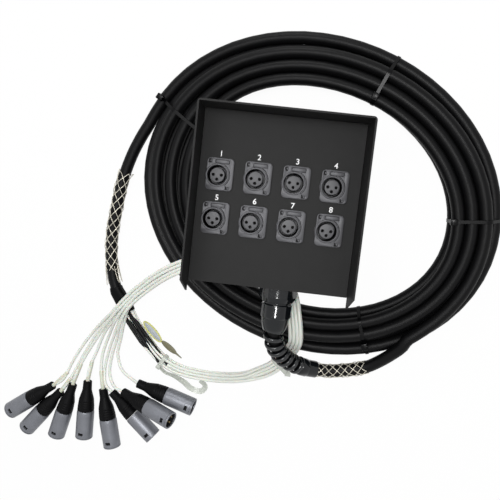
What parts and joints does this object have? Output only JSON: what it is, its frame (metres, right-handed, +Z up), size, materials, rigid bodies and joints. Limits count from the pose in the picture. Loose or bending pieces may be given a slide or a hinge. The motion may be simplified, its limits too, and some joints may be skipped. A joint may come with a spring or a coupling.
{
  "type": "stage box snake",
  "caption": "Tilted metal stage box with guard hood and panel sockets, glanded multicore cable wound in a coil, ending in a fan of white tails with inline plugs.",
  "frame": {"origin": "on the floor plane under the middle of the stage box (hood, panel, cover, sockets and gland body), cable and plugs left out", "axes": "+Y towards the hood's top edge as seen in the picture, +X to the right of the panel, +Z up from the floor; the box lies on its back, tipped 10 degrees to the right and 4 degrees along Y by the coil under it"},
  "size_m": [0.5039, 0.4615, 0.1208],
  "materials": {
    "coat": "fine textured semi-matt charcoal powder coat",
    "socket": "satin grey die-cast metal",
    "insert": "moulded mid-grey insulator",
    "nylon": "glossy dark grey nylon",
    "jacket": "matt black flexible jacket",
    "wire": "woven galvanised wire",
    "tail": "off-white flexible jacket",
    "plug": "satin nickel finish",
    "boot": "matt black ribbed rubber",
    "tie": "black nylon",
    "clear": "natural translucent nylon",
    "tag": "printed plastic with a yellow rim, left bare"
  },
  "bodies": {
    "box": {"guard_hood": "coat", "front_panel": "coat", "back_cover": "coat", "xlr_shell_1": "socket", "xlr_shell_2": "socket", "xlr_shell_3": "socket", "xlr_shell_4": "socket", "xlr_shell_5": "socket", "xlr_shell_6": "socket", "xlr_shell_7": "socket", "xlr_shell_8": "socket", "xlr_insert_1": "insert", "xlr_insert_2": "insert", "xlr_insert_3": "insert", "xlr_insert_4": "insert", "xlr_insert_5": "insert", "xlr_insert_6": "insert", "xlr_insert_7": "insert", "xlr_insert_8": "insert", "gland_body": "nylon", "gland_lock_nut": "nylon", "spiral_relief_nut": "nylon", "multicore_lead": "jacket", "multicore_coil": "jacket", "multicore_end": "jacket", "mesh_grip_box_end": "wire", "mesh_grip_fanout_end": "wire", "tail_loom": "tail", "xlr_plug_1": "plug", "xlr_plug_2": "plug", "xlr_plug_3": "plug", "xlr_plug_4": "plug", "xlr_plug_5": "plug", "xlr_plug_6": "plug", "xlr_plug_7": "plug", "xlr_plug_8": "plug", "plug_boot_1": "boot", "plug_boot_2": "boot", "plug_boot_3": "boot", "plug_boot_4": "boot", "plug_boot_5": "boot", "plug_boot_6": "boot", "plug_boot_7": "boot", "plug_boot_8": "boot", "fanout_boot": "boot", "coil_tie_1": "tie", "coil_tie_2": "tie", "coil_tie_3": "tie", "coil_tie_4": "tie", "clear_tie_1": "clear", "clear_tie_2": "clear", "marker_tag": "tag"},
    "latch_1": {"push_latch_1": "socket"},
    "latch_2": {"push_latch_2": "socket"},
    "latch_3": {"push_latch_3": "socket"},
    "latch_4": {"push_latch_4": "socket"},
    "latch_5": {"push_latch_5": "socket"},
    "latch_6": {"push_latch_6": "socket"},
    "latch_7": {"push_latch_7": "socket"},
    "latch_8": {"push_latch_8": "socket"}
  },
  "joints": [
    {"name": "latch_1_push", "type": "slide", "parent": "box", "child": "latch_1", "axis": [-0.1736, -0.0687, -0.9824], "range_m": [0, 0.0016], "stiffness_N_per_m": 800},
    {"name": "latch_2_push", "type": "slide", "parent": "box", "child": "latch_2", "axis": [-0.1736, -0.0687, -0.9824], "range_m": [0, 0.0016], "stiffness_N_per_m": 800},
    {"name": "latch_3_push", "type": "slide", "parent": "box", "child": "latch_3", "axis": [-0.1736, -0.0687, -0.9824], "range_m": [0, 0.0016], "stiffness_N_per_m": 800},
    {"name": "latch_4_push", "type": "slide", "parent": "box", "child": "latch_4", "axis": [-0.1736, -0.0687, -0.9824], "range_m": [0, 0.0016], "stiffness_N_per_m": 800},
    {"name": "latch_5_push", "type": "slide", "parent": "box", "child": "latch_5", "axis": [-0.1736, -0.0687, -0.9824], "range_m": [0, 0.0016], "stiffness_N_per_m": 800},
    {"name": "latch_6_push", "type": "slide", "parent": "box", "child": "latch_6", "axis": [-0.1736, -0.0687, -0.9824], "range_m": [0, 0.0016], "stiffness_N_per_m": 800},
    {"name": "latch_7_push", "type": "slide", "parent": "box", "child": "latch_7", "axis": [-0.1736, -0.0687, -0.9824], "range_m": [0, 0.0016], "stiffness_N_per_m": 800},
    {"name": "latch_8_push", "type": "slide", "parent": "box", "child": "latch_8", "axis": [-0.1736, -0.0687, -0.9824], "range_m": [0, 0.0016], "stiffness_N_per_m": 800}
  ]
}
